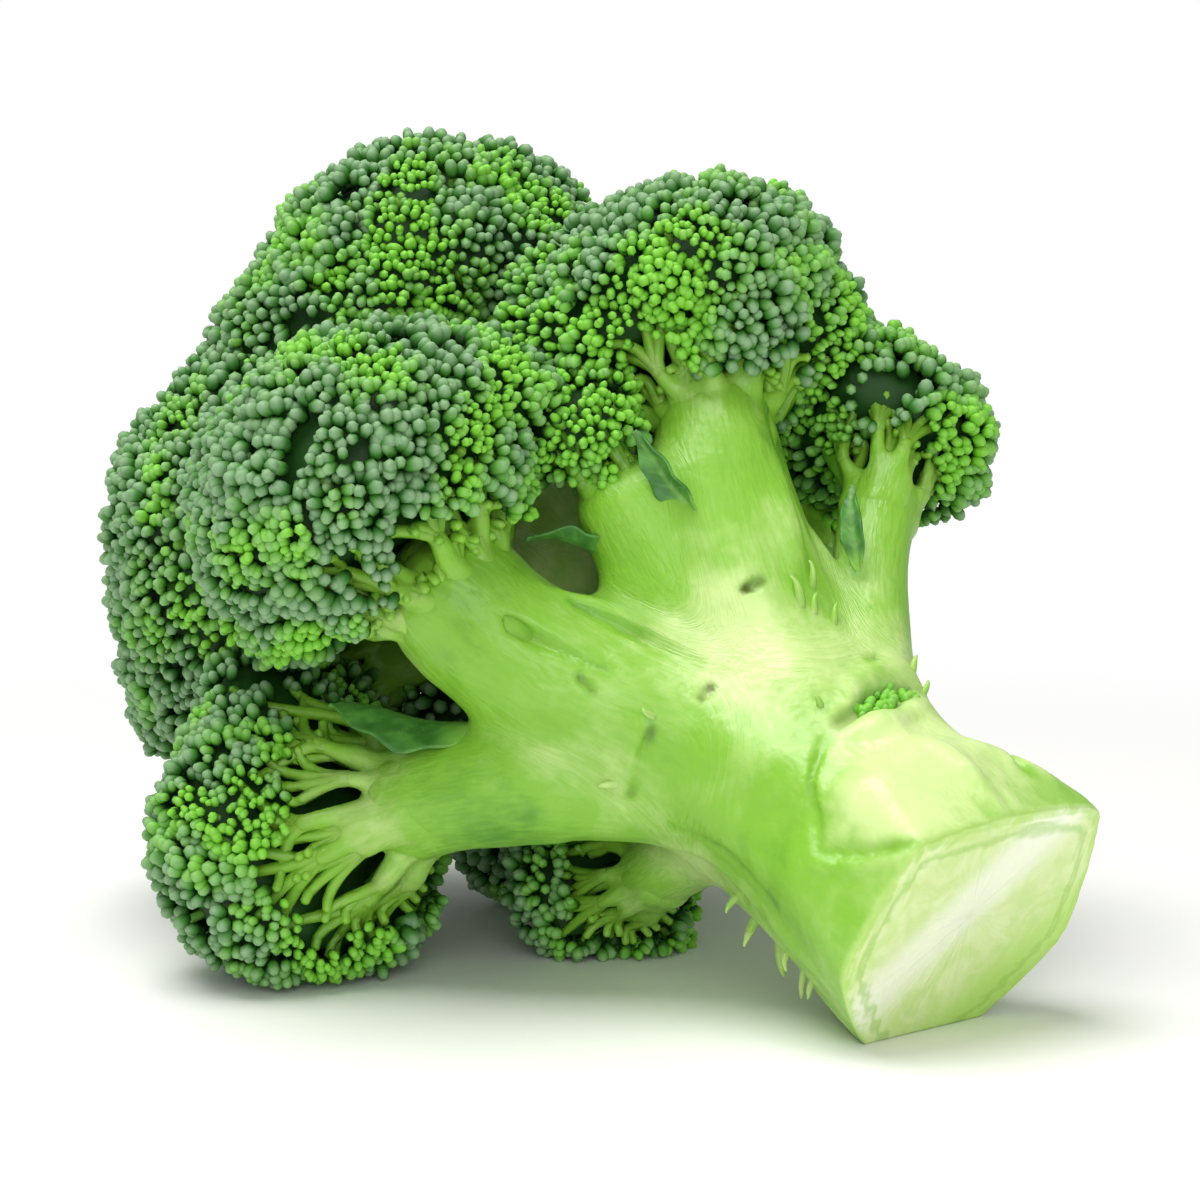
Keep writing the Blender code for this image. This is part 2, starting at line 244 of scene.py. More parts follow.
class Field:
    """A block of distances on a grid of voxels, with the corner that it starts from."""

    def __init__(self, low, shape, voxel):
        self.low, self.voxel = np.array(low, float), voxel
        self.far = np.full(shape, 99.0, np.float32)

    def places(self, first, last):
        """The grid's points from one corner index to another, as three arrays that broadcast together."""
        sides = [self.low[axis] + np.arange(first[axis], last[axis]) * self.voxel for axis in range(3)]
        return sides[0][:, None, None], sides[1][None, :, None], sides[2][None, None, :]

    def tube(self, line, radii, width):
        """A tube's block and field: least over its stretches of the distance to each less the radius there."""
        margin = radii.max() + width + 2
        first = np.clip(((line.min(0) - margin - self.low) / self.voxel).astype(int), 0, self.far.shape)
        last = np.clip(((line.max(0) + margin - self.low) / self.voxel).astype(int) + 2, 0, self.far.shape)
        x, y, z = self.places(first, last)
        tube = np.full((last - first), 99.0)
        for start, end, thick, thin in zip(line[:-1], line[1:], radii[:-1], radii[1:]):
            way = end - start
            share = (x - start[0]) * way[0] + (y - start[1]) * way[1] + (z - start[2]) * way[2]
            share = np.clip(share / (way @ way), 0, 1)
            off = [axis - start[i] - share * way[i] for i, axis in enumerate((x, y, z))]
            reach = np.sqrt(off[0] ** 2 + off[1] ** 2 + off[2] ** 2) - (thick + (thin - thick) * share)
            tube = np.minimum(tube, reach)
        return tuple(slice(a, b) for a, b in zip(first, last)), tube

    def add_tube(self, line, radii, width):
        """Joins a tube, its foot rounded over a width."""
        block, tube = self.tube(line, radii, width)
        self.far[block] = smooth_least(self.far[block], tube, width)

    def cut_tube(self, line, radii, width):
        """Cuts a tube away, its brim rounded over a width."""
        block, tube = self.tube(line, radii, width)
        self.far[block] = smooth_most(self.far[block], -tube, width)

    def onto_skin(self, azimuth, out, up):
        """The skin's point on the level ray at an azimuth, looking inwards from a little beyond out."""
        reach = np.arange(out + 4, 2, -0.2)
        steps = around(azimuth, 1, 0) * reach[:, None] + np.array([0, 0, up])
        cells = np.clip(((steps - self.low) / self.voxel).round().astype(int), 0, np.array(self.far.shape) - 1)
        return steps[np.argmax(self.far[tuple(cells.T)] < 0)]

    def skin(self):
        """The surface where the field is zero: (points in the growing frame, four-sided faces)."""
        grid = openvdb.FloatGrid(3.0)
        grid.copyFromArray(np.clip(self.far, -3, 3).astype(np.float32))
        points, quads = grid.convertToQuads(0.0)
        return points * self.voxel + self.low, quads


def stalk_distance(x, y, z):
    """The stalk alone: distance to a turned outline, bowed, then trimmed by its slightly bulging flats."""
    bow = np.sin(np.pi * np.clip(z / 52, 0, 1))
    turn = np.arctan2(y, x)
    ribs = 1 + 0.02 * np.cos(5 * turn + z / 22)
    reach = np.interp(z, STALK_HEIGHTS, STALK_RADII) * ribs
    far = np.sqrt((x - STALK_BOW[0] * bow) ** 2 + (y - STALK_BOW[1] * bow) ** 2) - reach
    for azimuth, up, lean, out, bulge in STALK_FLATS:
        outward = around(azimuth, 1, math.tan(math.radians(lean)))
        outward /= np.linalg.norm(outward)
        foot = around(azimuth, out, up)
        ahead = (x - foot[0]) * outward[0] + (y - foot[1]) * outward[1] + (z - foot[2]) * outward[2]
        aside = y * math.cos(math.radians(azimuth)) - x * math.sin(math.radians(azimuth))
        far = smooth_most(far, ahead + aside**2 / (2 * bulge), 1.6)
    return np.maximum(far, z - 104)


body = Field(FIELD_LOW, FIELD_SHAPE, VOXEL)
body.far = stalk_distance(*body.places((0, 0, 0), FIELD_SHAPE))
for name, floret in FLORETS.items():
    body.add_tube(branch_line(floret), branch_radii(floret), WEBS.get(name, 6))

# Marks of growing and trimming, each a line over the skin through (azimuth, out, up) points with a radius:
# raised ones first, then those pressed or cut in. A raised line stands proud by its radius less its sink.
RAISED = (
    (((175, 21, 17), (177, 20, 9), (178, 18, 1)), 1.5, 0.7),
    (((146, 22, 25.5), (158, 21, 24.5), (170, 20, 24.8), (186, 20, 26), (202, 20, 28)), 1.7, 0.5),
    (((160, 21, 31), (172, 20, 34), (186, 20, 35), (200, 21, 34), (206, 22, 31)), 1.6, 0.7),
    (((137, 22, 26), (120, 24, 21), (103, 24, 12.5), (112, 23, 6), (130, 20, 0.5)), 1.2, 0.7),
    (((106, 29, 49), (95, 28, 47), (82, 28, 47.5)), 1.8, 0.9),
    (((60, 26, 44), (66, 25, 36), (62, 24, 24), (58, 24, 10)), 1.9, 1.3),
    (((136, 24, 48), (128, 26, 58), (122, 30, 66), (117, 36, 74)), 2.4, 1.6),
    (((96, 33, 56), (98, 38, 66), (99, 44, 78)), 2.6, 1.7),
    (((172, 30, 50), (178, 34, 60), (184, 40, 74)), 2.3, 1.5),
    (((196, 28, 52), (192, 34, 64), (189, 42, 78)), 2.2, 1.5),
    (((62, 34, 56), (62, 42, 66), (62, 50, 76)), 2.2, 1.4),
)
PRESSED = (
    (((150, 22, 28), (164, 21, 28.5), (178, 21, 29.7), (192, 21, 30.6), (200, 21, 30.6)), 2.1, -0.3),
    (((140, 23, 27), (122, 24, 22.0), (105, 25, 13.5), (116, 23, 6.5), (131, 20, 0.8)), 1.1, 0.1),
    (((122, 23.5, 45.4), (126, 23, 46.3)), 1.1, 0.2),
    (((157, 28, 54.2), (162, 28, 53.0)), 1.2, 0.2),
    (((105, 29, 46.9), (94, 28, 45.4), (83, 27, 46.2)), 1.0, 0.1),
    (((106, 34, 56), (107, 36, 59)), 0.8, 0.1),
    (((184, 21, 36.4), (187, 21, 36.6)), 0.8, 0.1),
    (((130, 22, 50), (124, 25, 60), (119, 32, 70)), 1.1, 0.4),
    (((112, 33, 57), (109, 38, 67), (107, 44, 79)), 1.3, 0.4),
    (((180, 32, 53), (184, 36, 63), (186, 42, 76)), 1.3, 0.4),
    (((72, 36, 57), (70, 42, 65), (66, 50, 75)), 1.1, 0.4),
    (((76, 24, 40), (78, 24, 30), (74, 24, 18)), 1.1, 0.5),
    (((222, 23, 36), (216, 22, 24), (212, 23, 8)), 1.3, 0.5),
    (((262, 24, 42), (268, 24, 28), (272, 25, 12)), 1.3, 0.5),
    (((310, 24, 44), (304, 24, 30), (300, 25, 14)), 1.3, 0.5),
)


def skin_line(points, sink):
    """A smooth line over the skin: its points found on the skin, joined by even steps and sunk inwards."""
    found = np.array([body.onto_skin(*point) for point in points])
    found -= np.array([found[:, 0], found[:, 1], 0 * found[:, 2]]).T / np.linalg.norm(found[:, :2], axis=1)[:, None] * sink
    share = np.linspace(0, len(found) - 1, 3 * len(found))
    return np.stack([np.interp(share, np.arange(len(found)), found[:, axis]) for axis in range(3)], axis=1)


def swelling(count):
    """Thin at both ends and full in the middle: the square root of a sine, never below a fifth."""
    return np.maximum(np.sqrt(np.sin(np.linspace(0, np.pi, count))), 0.2)


marks = []
for points, radius, sink in RAISED:
    line = skin_line(points, sink)
    body.add_tube(line, radius * swelling(len(line)), 2.2)
for points, radius, sink in PRESSED:
    line = skin_line(points, -sink)
    body.cut_tube(line, radius * swelling(len(line)), 0.9)
    marks.append((line, radius))
x, y, z = body.places((0, 0, 0), FIELD_SHAPE)
grid_turn = np.arctan2(y, x)
body.far += 0.3 * np.sin(x / 3.1 + 2 * np.sin(y / 5.3)) * np.sin(y / 3.7 + 1) * np.sin(z / 4.9)
body.far += 0.35 * np.sin(grid_turn * 9 + z / 9 + 1.4 * np.sin(z / 17)) * np.clip((z - 2) / 12, 0, 1) * np.clip((70 - z) / 20, 0, 1)
skin_depth = body.far.copy()
x, y, z = body.places((0, 0, 0), FIELD_SHAPE)
body.far = np.maximum(body.far, -z)
body.far = np.maximum(body.far, -(x * LYING[2, 0] + y * LYING[2, 1] + z * LYING[2, 2] + CUT_END.z / MM))
flesh_points, flesh_faces = body.skin()
flesh_points[flesh_points[:, 2] < 0.55, 2] = 0.0


def nearest_on_line(points, line, radii):
    """For each point: its gap to the tube, how far along the tube it is (0 to 1) and the nearest point."""
    best = np.full(len(points), 1e9)
    along = np.zeros(len(points))
    foot = np.zeros_like(points)
    for index, (start, end) in enumerate(zip(line[:-1], line[1:])):
        way = end - start
        share = np.clip((points - start) @ way / (way @ way), 0, 1)
        place = start + share[:, None] * way
        thick = radii[index] + (radii[index + 1] - radii[index]) * share
        gap = np.linalg.norm(points - place, axis=1) - thick
        nearer = gap < best
        best = np.where(nearer, gap, best)
        along = np.where(nearer, (index + share) / (len(line) - 1), along)
        foot[nearer] = place[nearer]
    return best, along, foot


def flesh_facts(points):
    """What the flesh's colour and grain follow, at each point.

    grain is a seamless pair of directions round the nearest stem with the distance along it, fork is how
    close a second stem is, and climb is how far up its stem a point is.
    """
    stems = [(np.array([[0, 0, 0], [0, 0, 52], [0, 0, 104.0]]), np.array([24.0, 22.0, 12.0]), 0)]
    stems += [(branch_line(row), branch_radii(row), row[1][0]) for row in FLORETS.values()]
    gaps, grains, climbs = [], [], []
    for number, (line, radii, azimuth) in enumerate(stems):
        gap, along, foot = nearest_on_line(points, line, radii)
        onward = (line[-1] - line[0]) / np.linalg.norm(line[-1] - line[0])
        outward = around(azimuth, 1, 0)
        outward = outward - onward * (outward @ onward)
        outward /= np.linalg.norm(outward)
        side = np.cross(onward, outward)
        off = points - foot
        off /= np.maximum(np.linalg.norm(off, axis=1, keepdims=True), 1e-6)
        length = np.linalg.norm(np.diff(line, axis=0), axis=1).sum()
        grains.append(np.stack([off @ outward, off @ side, along * length / 40 + number * 0.37], axis=1))
        gaps.append(gap)
        climbs.append(along if number else along * 0.2)
    gaps = np.array(gaps)
    weight = np.exp(-(gaps - gaps.min(axis=0)) / 1.5)
    weight /= weight.sum(axis=0)
    grain = np.einsum("sp,spk->pk", weight, np.array(grains))
    climb = (weight * np.array(climbs)).sum(axis=0)
    fork = np.exp(-np.maximum(np.sort(gaps, axis=0)[1], 0) / 5.0)
    return grain, fork, climb


flesh_grain, flesh_fork, flesh_climb = flesh_facts(flesh_points)


def new_piece(name, points, faces, material):
    """A smooth-shaded mesh object in the scene from growing-frame points, none of them under the table."""
    points = points + np.maximum(0.05 - height_over_table(points), 0)[:, None] * LYING[2]
    data = bpy.data.meshes.new(name)
    data.from_pydata(lay_down(points), [], faces)
    data.materials.append(material)
    data.shade_smooth()
    piece = bpy.data.objects.new(name, data)
    bpy.context.scene.collection.objects.link(piece)
    return piece


def give_numbers(piece, **values):
    """Stores arrays as point attributes: plain numbers as floats and rows of three as vectors."""
    for name, array in values.items():
        array = np.ascontiguousarray(array, np.float32)
        kind, key = ("FLOAT_VECTOR", "vector") if array.ndim == 2 else ("FLOAT", "value")
        piece.data.attributes.new(name, kind, "POINT").data.foreach_set(key, array.ravel())


def node(material, kind, **inputs):
    """Adds a node, sets or links its inputs by name, and returns it."""
    made = material.node_tree.nodes.new(kind)
    for name, value in inputs.items():
        socket = made.inputs[name.replace("_", " ")]
        if isinstance(value, bpy.types.NodeSocket):
            material.node_tree.links.new(value, socket)
        else:
            socket.default_value = value
    return made


def mix_colours(material, share, one, other, blend="MIX"):
    """A Mix node for colours, returning its result; one and other are colours or sockets."""
    made = material.node_tree.nodes.new("ShaderNodeMix")
    made.data_type = "RGBA"
    made.blend_type = blend
    for socket, value in zip((made.inputs[0], made.inputs[6], made.inputs[7]), (share, one, other)):
        if isinstance(value, bpy.types.NodeSocket):
            material.node_tree.links.new(value, socket)
        else:
            socket.default_value = value
    return made.outputs[2]


def sum_up(material, operation, *values):
    """A Math node, returning its result; values are numbers or sockets."""
    made = material.node_tree.nodes.new("ShaderNodeMath")
    made.operation = operation
    for socket, value in zip(made.inputs, values):
        if isinstance(value, bpy.types.NodeSocket):
            material.node_tree.links.new(value, socket)
        else:
            socket.default_value = value
    return made.outputs[0]


def ramp(material, value, low, high):
    """A Map Range node from low..high to 0..1, smoothly stepped."""
    made = node(material, "ShaderNodeMapRange", Value=value)
    made.interpolation_type = "SMOOTHSTEP"
    made.inputs["From Min"].default_value = low
    made.inputs["From Max"].default_value = high
    return made.outputs["Result"]


def attribute(material, name):
    """An Attribute node reading a point attribute."""
    made = material.node_tree.nodes.new("ShaderNodeAttribute")
    made.attribute_name = name
    return made


def waxy_flesh():
    """The stalk's skin: fresh green and cream in soft clouds, with fibres that run along each stem."""
    made = bpy.data.materials.new("waxy_flesh")
    made.use_nodes = True
    shader = made.node_tree.nodes["Principled BSDF"]
    place = node(made, "ShaderNodeTexCoord").outputs["Object"]
    clouds = node(made, "ShaderNodeTexNoise", Vector=place, Scale=42.0, Detail=2.0, Roughness=0.5)
    patches = ramp(made, clouds.outputs["Fac"], 0.38, 0.66)
    grain = attribute(made, "grain").outputs["Vector"]
    fibres = node(made, "ShaderNodeTexNoise", Vector=grain, Scale=9.0, Detail=2.0, Roughness=0.5)
    mottle = node(made, "ShaderNodeTexNoise", Vector=place, Scale=150.0, Detail=3.0, Roughness=0.55)
    cream = attribute(made, "cream").outputs["Fac"]
    scar = attribute(made, "scar").outputs["Fac"]
    cut = attribute(made, "cut").outputs["Fac"]
    inside = attribute(made, "inside").outputs["Fac"]
    streak = attribute(made, "streak").outputs["Fac"]
    creamy = sum_up(made, "MULTIPLY_ADD", patches, 0.30, cream)
    creamy = sum_up(made, "MULTIPLY_ADD", ramp(made, fibres.outputs["Fac"], 0.35, 0.65), 0.10, creamy)
    creamy = sum_up(made, "MULTIPLY_ADD", ramp(made, mottle.outputs["Fac"], 0.35, 0.7), 0.22, creamy)
    skin = mix_colours(made, ramp(made, creamy, 0.0, 0.95), (0.235, 0.52, 0.040, 1), (0.66, 0.82, 0.34, 1))
    # Below zero the skin goes deep green: the skin's own greener patches, and painted shade in the creases and on the
    # shadowed low-left branch.
    deep_green = ramp(made, creamy, 0.0, -0.6)
    skin = mix_colours(made, deep_green, skin, (0.095, 0.30, 0.018, 1))
    wavy = node(made, "ShaderNodeTexNoise", Vector=place, Scale=160.0, Detail=3.0, Distortion=1.5).outputs["Fac"]
    pith = mix_colours(made, ramp(made, wavy, 0.35, 0.68), (0.62, 0.80, 0.30, 1), (0.74, 0.87, 0.44, 1))
    pith = mix_colours(made, ramp(made, streak, 0.1, 1.0), pith, (0.90, 0.95, 0.74, 1))
    pith = mix_colours(made, ramp(made, streak, -0.1, -1.0), pith, (0.50, 0.78, 0.16, 1))
    edge = sum_up(made, "MULTIPLY_ADD", wavy, 3.0, sum_up(made, "ADD", inside, -1.5))
    ring = sum_up(made, "MULTIPLY", ramp(made, edge, 2.2, 3.2), ramp(made, edge, 4.6, 3.4))
    pith = mix_colours(made, sum_up(made, "MULTIPLY", ring, 0.55), pith, (0.33, 0.60, 0.09, 1))
    brim = ramp(made, edge, 1.9, 0.4)
    pith = mix_colours(made, sum_up(made, "MULTIPLY", brim, 0.7), pith, (0.42, 0.70, 0.12, 1))
    colour = mix_colours(made, cut, skin, pith)
    colour = mix_colours(made, sum_up(made, "MINIMUM", scar, 1.0), colour, (0.10, 0.13, 0.02, 1))
    made.node_tree.links.new(colour, shader.inputs["Base Color"])
    rough = sum_up(made, "MULTIPLY_ADD", mottle.outputs["Fac"], 0.25, 0.24)
    made.node_tree.links.new(rough, shader.inputs["Roughness"])
    shader.inputs["Subsurface Weight"].default_value = 0.18
    shader.inputs["Subsurface Radius"].default_value = (0.5, 1.0, 0.25)
    shader.inputs["Subsurface Scale"].default_value = 0.004
    pores = node(made, "ShaderNodeTexNoise", Vector=place, Scale=900.0, Detail=2.0)
    relief = sum_up(made, "MULTIPLY_ADD", fibres.outputs["Fac"], 0.45, mottle.outputs["Fac"])
    relief = sum_up(made, "MULTIPLY_ADD", pores.outputs["Fac"], 0.10, relief)
    bump = node(made, "ShaderNodeBump", Height=relief, Strength=0.45, Distance=0.0012)
    made.node_tree.links.new(bump.outputs["Normal"], shader.inputs["Normal"])
    return made


def scarring(points):
    """How brown the skin is: full in the middle of each pressed mark of the stalk, fading within its width."""
    brown = np.zeros(len(points))
    for (line, radius), depth in zip(marks, MARK_BROWN):
        gap = nearest_on_line(points, line, np.zeros(len(line)))[0]
        brown = np.maximum(brown, depth * np.exp(-((gap / (radius * 0.8)) ** 4)))
    return brown


# Where the skin is paler (or, below zero, greener) than its surroundings: (azimuth, out, up), width, how much.
PALE_SPOTS = (
    ((141, 24, 9), 11, 0.75),
    ((160, 22, 20), 8, 0.45),
    ((190, 22, 14), 12, 0.5),
    ((90, 23, 22), 13, -0.35),
    ((103, 24, 41), 9, -0.55),
    ((134, 21, 56), 9, 0.35),
    ((196, 25, 40), 8, 0.25),
    ((150, 27, 48), 8, 0.3),
    ((110, 37, 64), 9, 0.3),
    ((182, 36, 62), 8, 0.2),
    ((185, 41, 74), 7, -0.35),
    # Painted shadow: this greener spot darkens the low-left branch where the front branch shades it.
    ((62, 36, 60), 16, -0.5),
    ((214, 34, 52), 12, -0.2),
)


def creaminess(points, fork, climb):
    """How far the skin goes from green to cream: more at forks, less up the branches, the pale spots, and greener along
    the pressed creases as painted shade.
    """
    cream = 0.02 + 0.42 * fork - 0.30 * np.clip(climb, 0, 1)
    for spot, width, much in PALE_SPOTS:
        cream += much * np.exp(-(((points - around(*spot)) ** 2).sum(axis=1)) / width**2)
    # Painted shade: the skin turns darker green along the pressed creases, where they lie in shade.
    for line, radius in marks[1:2] + marks[3:]:
        gap = nearest_on_line(points, line, np.zeros(len(line)))[0]
        cream -= 0.5 * np.exp(-((gap / radius) ** 2))
    return cream


# How brown each of the pressed marks has turned, in their order.
MARK_BROWN = (0.3, 0.1, 1.0, 1.0, 0.45, 0.4, 0.4, 0.0, 0.0, 0.0, 0.0, 0.0, 0.0, 0.0, 0.0)

flesh = waxy_flesh()
stalk = new_piece("stalk_and_branches", flesh_points, flesh_faces, flesh)


def cut_streak(points):
    """The cut face's pale streak across the middle (up to 1), and its greener lower side (down to -1)."""
    off_streak = points @ around(135, 1, 0)
    green_side = np.clip((points @ around(318, 1, 0) - 7) / 14, 0, 1)
    return np.exp(-(((off_streak - 2) / 6) ** 2)) * (1 - green_side) - green_side * (1 - np.exp(-((off_streak / 9) ** 2)) * 0.5)


flesh_cells = np.clip(((flesh_points - FIELD_LOW) / VOXEL).round().astype(int), 0, np.array(FIELD_SHAPE) - 1)
give_numbers(
    stalk,
    grain=flesh_grain,
    cream=creaminess(flesh_points, flesh_fork, flesh_climb),
    scar=scarring(flesh_points),
    cut=(flesh_points[:, 2] < 0.05).astype(float),
    inside=-skin_depth[tuple(flesh_cells.T)],
    streak=cut_streak(flesh_points),
)
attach(stalk, "root")
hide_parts("stalk", *["branch_" + name for name in FLORETS])

# ---------------------------------------------------------------------------------------------------------
# The bud heads. Each is a dome of hundreds of flower buds, gathered in bunches with furrows between them,
# over a core painted near-black green as the shade between the buds. Old buds have a grey bloom of wax on their tips,
# young ones are yellow-green.

POLAR_STEPS = 61
TURN_STEPS = 90
BUD_SPACING = 2.08
SMALL_SPACING = 2.6
CORE_SINK = 5.8


def head_frame(floret):
    """A head's middle and its three directions as rows: two across it, then the one that it faces."""
    middle = around(*floret[0])
    facing = middle - around(*floret[1])
    facing /= np.linalg.norm(facing)
    across = np.cross(facing, (0.0, 0.0, 1.0))
    across /= np.linalg.norm(across)
    return middle, np.array([across, np.cross(facing, across), facing])


def ways_out(polar, turn, axes):
    """Directions from their angle off the way a head faces and their turn about it."""
    flat = np.sin(polar)
    local = np.stack([flat * np.cos(turn), flat * np.sin(turn), np.cos(polar) * np.ones_like(turn)], axis=-1)
    return local @ axes


def solid_reach(name, floret):
    """How far the head's solid reaches, on a grid of polar angles and turns, with its facets blurred away."""
    middle, axes = head_frame(floret)
    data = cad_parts["floret_" + name].data
    points = np.array([vertex.co for vertex in data.vertices])
    tree = BVHTree.FromPolygons(stand_up(points).tolist(), [tuple(face.vertices) for face in data.polygons])
    polar = np.linspace(0, np.pi, POLAR_STEPS)[:, None]
    turn = np.linspace(-np.pi, np.pi, TURN_STEPS, endpoint=False)[None, :]
    ways = ways_out(polar * np.ones_like(turn), turn * np.ones_like(polar), axes)
    reach = np.empty(ways.shape[:2])
    for index in np.ndindex(reach.shape):
        reach[index] = tree.ray_cast(Vector(middle), Vector(ways[index]))[3] or floret[2]
    for _ in range(3):
        padded = np.vstack([np.roll(reach[1:2], TURN_STEPS // 2, axis=1), reach, np.roll(reach[-2:-1], 45, axis=1)])
        reach = (padded[:-2] + 2 * reach + padded[2:]) / 4
        reach = (np.roll(reach, 1, axis=1) + 2 * reach + np.roll(reach, -1, axis=1)) / 4
    reach[0] = reach[0].mean()
    reach[-1] = reach[-1].mean()
    return reach


def look_up(reach, polar, turn):
    """Reads a reach grid between its points (bilinear)."""
    row = np.clip(polar / np.pi * (POLAR_STEPS - 1), 0, POLAR_STEPS - 1.001)
    column = ((turn + np.pi) / (2 * np.pi) * TURN_STEPS) % TURN_STEPS
    low, left = row.astype(int), column.astype(int) % TURN_STEPS
    right = (left + 1) % TURN_STEPS
    down, over = row - low, column - np.floor(column)
    above = reach[low, left] * (1 - over) + reach[low, right] * over
    below = reach[low + 1, left] * (1 - over) + reach[low + 1, right] * over
    return above * (1 - down) + below * down


def cap_area(profile, rim):
    """A cap's area from its reach at each polar angle, summed outwards: (angles, areas, area at the rim)."""
    angles = np.linspace(0, np.pi, 10 * POLAR_STEPS)
    reach = np.interp(angles, np.linspace(0, np.pi, POLAR_STEPS), profile)
    areas = np.cumsum(2 * np.pi * reach**2 * np.sin(angles)) * angles[1]
    return angles, areas, np.interp(rim, angles, areas)


def spread(count, rim, profile, jitter, seed):
    """Polar angles and turns of count directions, evenly over a cap's area, each nudged by a random step."""
    dice = np.random.default_rng(seed)
    steps = np.arange(count)
    angles, areas, whole = cap_area(profile, rim)
    polar = np.interp((steps + 0.5) / count * whole, areas, angles)
    turn = steps * 2.39996
    step = math.sqrt(2 * np.pi * (1 - math.cos(rim)) / count) * jitter
    polar = np.abs(polar + dice.uniform(-step, step, count))
    turn = turn + dice.uniform(-step, step, count) / np.maximum(np.sin(polar), 0.2)
    return polar, (turn + np.pi) % (2 * np.pi) - np.pi


def furrows(ways, centres, size, deep, width):
    """How far a bunched surface drops: deep on the lines midway between centres, and 0 a width from them."""
    apart = np.sort(np.linalg.norm(ways[:, None] - centres[None], axis=2), axis=1)
    near = np.clip(1 - (apart[:, 1] - apart[:, 0]) * size / width, 0, 1)
    return deep * near**2 * (3 - 2 * near)


# How much more area a head has than its reach alone gives, because its surface slopes.
SLOPE_SHARE = 1.12


class Head:
    """One floret's head: its place, its reach and the centres of its bunches."""

    def __init__(self, name, floret, seed):
        self.name, self.floret, self.seed = name, floret, seed
        self.middle, self.axes = head_frame(floret)
        self.size, self.rim = floret[2], math.radians(floret[6])
        self.solid = self.reach = solid_reach(name, floret)
        self.profile = self.solid.mean(axis=1)
        self.area = SLOPE_SHARE * cap_area(self.profile, self.rim)[2]
        self.bunches = self.scatter(max(6, int(self.area / 150)), seed + 1)
        self.knots = self.scatter(max(20, int(self.area / 26)), seed + 2)

    def scatter(self, count, seed):
        """Directions spread over the head a little past its rim."""
        return ways_out(*spread(count, self.rim + 0.1, self.profile, 0.3, seed), self.axes)

    def surface(self, polar, turn):
        """Points of the bunched surface at polar angles and turns, and how deep in a furrow each lies."""
        ways = ways_out(polar, turn, self.axes)
        drop = furrows(ways, self.bunches, self.size, 2.2, 4.5) + furrows(ways, self.knots, self.size, 1.2, 2.6)
        swell = 0.9 * ripple(ways * self.size, 26, self.seed + 10)
        reach = look_up(self.reach, polar, turn) - 1.4 - drop + swell
        return self.middle + ways * reach[:, None], drop

    def depth(self, points, reach):
        """How deep points lie under one of the head's reach grids, negative outside it."""
        off = points - self.middle
        far = np.maximum(np.linalg.norm(off, axis=1), 1e-6)
        local = (off / far[:, None]) @ self.axes.T
        polar = np.arccos(np.clip(local[:, 2], -1, 1))
        return look_up(reach, polar, np.arctan2(local[:, 1], local[:, 0])) - far

    def fill_valleys(self, others):
        """Raises the head's reach where another head is near, so that the crown runs over both.

        The two heads' fields are blended smoothly, and each direction's reach is stepped out until the blend
        is zero there, by no more than FILL_MOST.
        """
        polar = np.linspace(0, np.pi, POLAR_STEPS)[:, None] * np.ones((1, TURN_STEPS))
        turn = np.linspace(-np.pi, np.pi, TURN_STEPS, endpoint=False)[None, :] * np.ones((POLAR_STEPS, 1))
        ways = ways_out(polar.ravel(), turn.ravel(), self.axes)
        reach = self.solid.ravel()
        for _ in range(5):
            points = self.middle + ways * reach[:, None]
            blend = -self.depth(points, self.solid)
            for other in others:
                blend = smooth_least(blend, -other.depth(points, other.solid), FILL_WIDTH * min(self.size, other.size))
            reach = reach - 0.7 * blend
        rise = np.clip(reach - self.solid.ravel(), 0, FILL_MOST)
        rise *= np.clip((self.rim * 0.88 - polar.ravel()) / 0.35, 0, 1)
        self.reach = self.solid + rise.reshape(self.solid.shape)


FILL_WIDTH = 0.95
FILL_MOST = 8.0
heads = [Head(name, floret, 100 * number) for number, (name, floret) in enumerate(FLORETS.items())]
for head in heads:
    head.fill_valleys([other for other in heads if other is not head])

# A bud: six-sided rings of these radii at these heights, in bud widths, closed by a point at each end.
BUD_SIDES = 6
BUD_RADII = np.array([0.60, 0.96, 0.94, 0.55])
BUD_RISES = np.array([-0.95, -0.25, 0.65, 1.25])
BUD_ENDS = (-1.2, 1.45)


def bud_pattern():
    """The bud's points, its faces, and for each point how near the tip it is and its place on a map tile."""
    turn = np.arange(BUD_SIDES) * 2 * np.pi / BUD_SIDES
    rings = [
        np.stack([radius * np.cos(turn), radius * np.sin(turn), np.full(BUD_SIDES, rise)], axis=1)
        for radius, rise in zip(BUD_RADII, BUD_RISES)
    ]
    points = np.vstack(rings + [np.array([[0, 0, BUD_ENDS[0]], [0, 0, BUD_ENDS[1]]])])
    here = np.arange(BUD_SIDES)
    there = (here + 1) % BUD_SIDES
    last = len(rings) - 1
    walls = [
        np.stack([row * BUD_SIDES + here, row * BUD_SIDES + there, (row + 1) * BUD_SIDES + there], axis=1)
        for row in range(last)
    ]
    walls += [
        np.stack([row * BUD_SIDES + here, (row + 1) * BUD_SIDES + there, (row + 1) * BUD_SIDES + here], axis=1)
        for row in range(last)
    ]
    foot, top = len(points) - 2, len(points) - 1
    walls.append(np.stack([there, here, np.full(BUD_SIDES, foot)], axis=1))
    walls.append(np.stack([last * BUD_SIDES + here, last * BUD_SIDES + there, np.full(BUD_SIDES, top)], axis=1))
    tip = np.clip((points[:, 2] - BUD_RISES[0]) / (BUD_ENDS[1] - BUD_RISES[0]), 0, 1)
    return points, np.vstack(walls), tip


